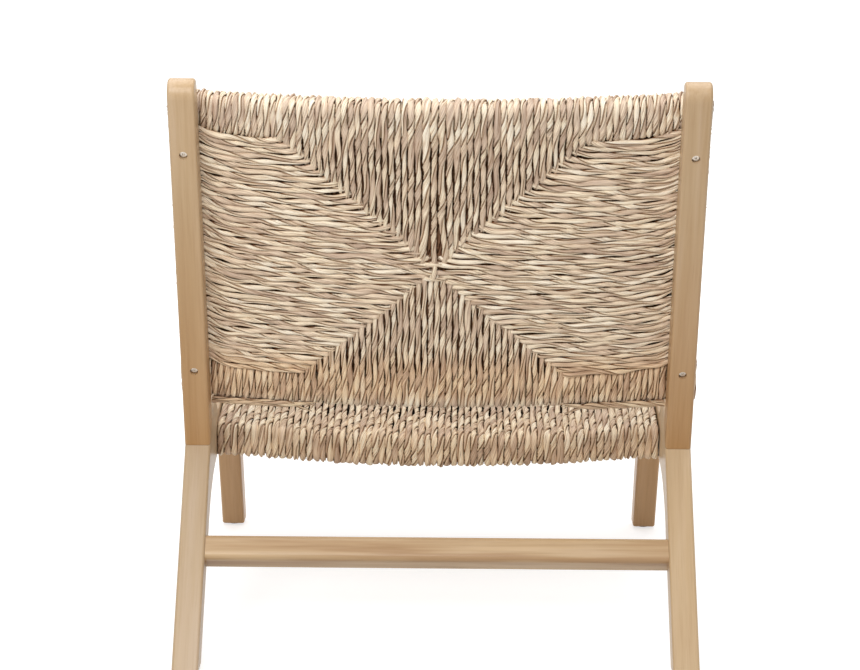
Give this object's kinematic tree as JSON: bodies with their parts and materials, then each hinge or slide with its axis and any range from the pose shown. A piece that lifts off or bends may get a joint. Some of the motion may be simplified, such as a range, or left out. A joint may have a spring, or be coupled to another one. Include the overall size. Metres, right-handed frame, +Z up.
{
  "type": "lounge chair",
  "caption": "Low lounge chair with sawn timber side frames and a back and seat panel of twisted leaf cord in an envelope weave.",
  "frame": {"origin": "on the floor, under the middle of the whole chair", "axes": "+Z up, -Y towards the front of the chair, +X towards the sitter's left"},
  "size_m": [0.64, 0.7412, 0.7096],
  "materials": {
    "frame_wood": "satin oil, pale honey, long grain along each board",
    "inner_frame_wood": "plain sawn, under the cord",
    "woven_leaf": "two-ply twisted leaf cord, cream and grey-brown plies",
    "tie_cord": "twisted leaf cord",
    "dowel_wood": "end grain, oiled",
    "screw_steel": "plain machined head",
    "glide_plastic": "dark matte"
  },
  "bodies": {
    "root": {"back_post_left": "frame_wood", "back_post_right": "frame_wood", "rear_leg_left": "frame_wood", "rear_leg_right": "frame_wood", "side_rail_left": "frame_wood", "side_rail_right": "frame_wood", "front_leg_left": "frame_wood", "front_leg_right": "frame_wood", "rear_stretcher": "frame_wood", "back_top_rail": "inner_frame_wood", "back_bottom_rail": "inner_frame_wood", "back_side_rail_left": "inner_frame_wood", "back_side_rail_right": "inner_frame_wood", "seat_rear_rail": "inner_frame_wood", "seat_front_rail": "inner_frame_wood", "seat_side_rail_left": "inner_frame_wood", "seat_side_rail_right": "inner_frame_wood", "back_weave_top": "woven_leaf", "back_weave_bottom": "woven_leaf", "back_weave_left": "woven_leaf", "back_weave_right": "woven_leaf", "seat_weave_rear": "woven_leaf", "seat_weave_front": "woven_leaf", "seat_weave_left": "woven_leaf", "seat_weave_right": "woven_leaf", "back_tie_left": "tie_cord", "back_tie_right": "tie_cord", "post_dowels": "dowel_wood", "side_rail_dowels": "dowel_wood", "front_leg_dowels": "dowel_wood", "back_frame_dowels": "dowel_wood", "seat_frame_dowels": "dowel_wood", "seat_screw_plugs": "dowel_wood", "back_screws": "screw_steel", "seat_screws": "screw_steel", "foot_glides": "glide_plastic"}
  },
  "joints": []
}
